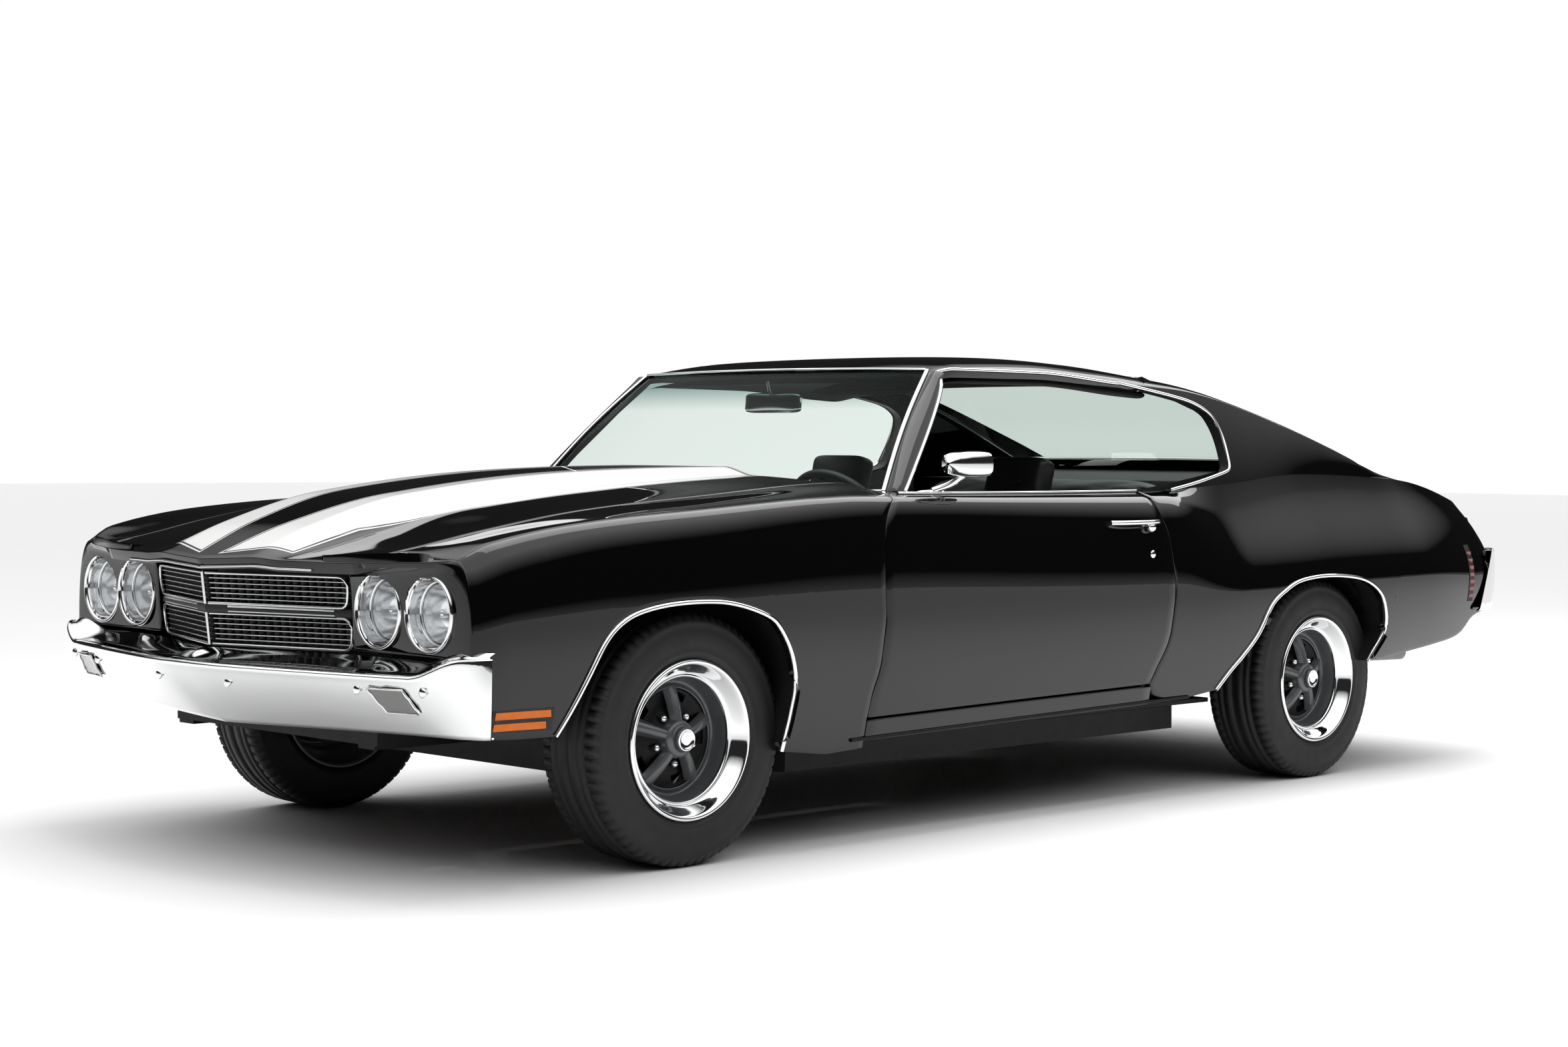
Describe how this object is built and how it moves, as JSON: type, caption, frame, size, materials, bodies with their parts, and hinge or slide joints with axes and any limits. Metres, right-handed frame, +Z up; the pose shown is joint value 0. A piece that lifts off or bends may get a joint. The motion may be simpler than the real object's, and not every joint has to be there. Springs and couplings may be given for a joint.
{
  "type": "two-door hardtop car",
  "caption": "Two-door hardtop muscle car with a domed hood, quad round headlamps, chrome bumpers and five-spoke wheels; doors, hood and trunk lid open, wheels roll and steer.",
  "frame": {"origin": "on the ground under the middle of the bounding box", "axes": "+X forward, +Y to the left of the driver, +Z up"},
  "size_m": [5.008, 1.9128, 1.3581],
  "materials": {
    "body_paint": "gloss",
    "chassis_paint": "satin",
    "engine_paint": "satin",
    "bright_chrome": "polished",
    "pipe_steel": "satin",
    "wheel_paint": "satin",
    "tyre_rubber": "matte",
    "window_glass": "clear",
    "lamp_glass": "clear",
    "lamp_red": "gloss",
    "lamp_amber": "gloss",
    "cabin_vinyl": "satin",
    "cabin_plastic": "matte"
  },
  "bodies": {
    "body": {"body_shell": "body_paint", "left_fender": "body_paint", "right_fender": "body_paint", "header_panel": "body_paint", "frame": "chassis_paint", "inner_fenders": "chassis_paint", "floor_pan": "chassis_paint", "front_suspension": "chassis_paint", "rear_axle": "chassis_paint", "radiator": "chassis_paint", "fuel_tank": "chassis_paint", "driveline": "chassis_paint", "engine": "engine_paint", "front_bumper": "bright_chrome", "rear_bumper": "bright_chrome", "headlamp_bezels": "bright_chrome", "grille": "bright_chrome", "exhaust": "pipe_steel", "windshield": "window_glass", "rear_window": "window_glass", "headlamps": "lamp_glass", "parking_lamps": "lamp_glass", "tail_lamps": "lamp_red", "side_markers": "lamp_amber", "front_seats": "cabin_vinyl", "rear_seat": "cabin_vinyl", "dashboard": "cabin_plastic", "steering_column": "cabin_plastic", "roof_fittings": "cabin_plastic"},
    "hood": {"hood": "body_paint"},
    "trunk_lid": {"trunk_lid": "body_paint"},
    "left_door": {"left_door": "body_paint", "door_mirror": "bright_chrome"},
    "right_door": {"right_door": "body_paint"},
    "steering_wheel": {"steering_wheel": "cabin_plastic"},
    "left_knuckle": {"left_knuckle": "pipe_steel"},
    "right_knuckle": {"right_knuckle": "pipe_steel"},
    "left_front_wheel": {"left_front_wheel": "wheel_paint", "left_front_tyre": "tyre_rubber"},
    "right_front_wheel": {"right_front_wheel": "wheel_paint", "right_front_tyre": "tyre_rubber"},
    "left_rear_wheel": {"left_rear_wheel": "wheel_paint", "left_rear_tyre": "tyre_rubber"},
    "right_rear_wheel": {"right_rear_wheel": "wheel_paint", "right_rear_tyre": "tyre_rubber"}
  },
  "joints": [
    {"name": "steering_wheel_turn", "type": "hinge", "parent": "body", "child": "steering_wheel", "pos_m": [0.442, 0.37, 0.853], "axis": [-0.8364, 0, 0.5481], "range_deg": [-480, 480]},
    {"name": "left_steer", "type": "hinge", "parent": "body", "child": "left_knuckle", "pos_m": [1.527, 0.676, 0.33], "axis": [0, 0, 1], "range_deg": [-30, 30]},
    {"name": "right_steer", "type": "hinge", "parent": "body", "child": "right_knuckle", "pos_m": [1.527, -0.676, 0.33], "axis": [0, 0, 1], "range_deg": [-30, 30]},
    {"name": "left_front_spin", "type": "hinge", "parent": "left_knuckle", "child": "left_front_wheel", "pos_m": [1.527, 0.761, 0.33], "axis": [0, 1, 0], "continuous": true},
    {"name": "right_front_spin", "type": "hinge", "parent": "right_knuckle", "child": "right_front_wheel", "pos_m": [1.527, -0.761, 0.33], "axis": [0, 1, 0], "continuous": true},
    {"name": "left_rear_spin", "type": "hinge", "parent": "body", "child": "left_rear_wheel", "pos_m": [-1.318, 0.761, 0.33], "axis": [0, 1, 0], "continuous": true},
    {"name": "right_rear_spin", "type": "hinge", "parent": "body", "child": "right_rear_wheel", "pos_m": [-1.318, -0.761, 0.33], "axis": [0, 1, 0], "continuous": true},
    {"name": "left_door_hinge", "type": "hinge", "parent": "body", "child": "left_door", "pos_m": [0.942, 0.905, 0.59], "axis": [0, 0, -1], "range_deg": [0, 65]},
    {"name": "right_door_hinge", "type": "hinge", "parent": "body", "child": "right_door", "pos_m": [0.942, -0.905, 0.59], "axis": [0, 0, 1], "range_deg": [0, 65]},
    {"name": "hood_hinge", "type": "hinge", "parent": "body", "child": "hood", "pos_m": [0.793, 0, 0.966], "axis": [0, -1, 0], "range_deg": [0, 50]},
    {"name": "trunk_hinge", "type": "hinge", "parent": "body", "child": "trunk_lid", "pos_m": [-1.597, 0, 1.023], "axis": [0, 1, 0], "range_deg": [0, 70]}
  ],
  "couplings": [
    {"joint": "left_steer", "follows": "steering_wheel_turn", "ratio": 0.0625},
    {"joint": "right_steer", "follows": "steering_wheel_turn", "ratio": 0.0625}
  ]
}
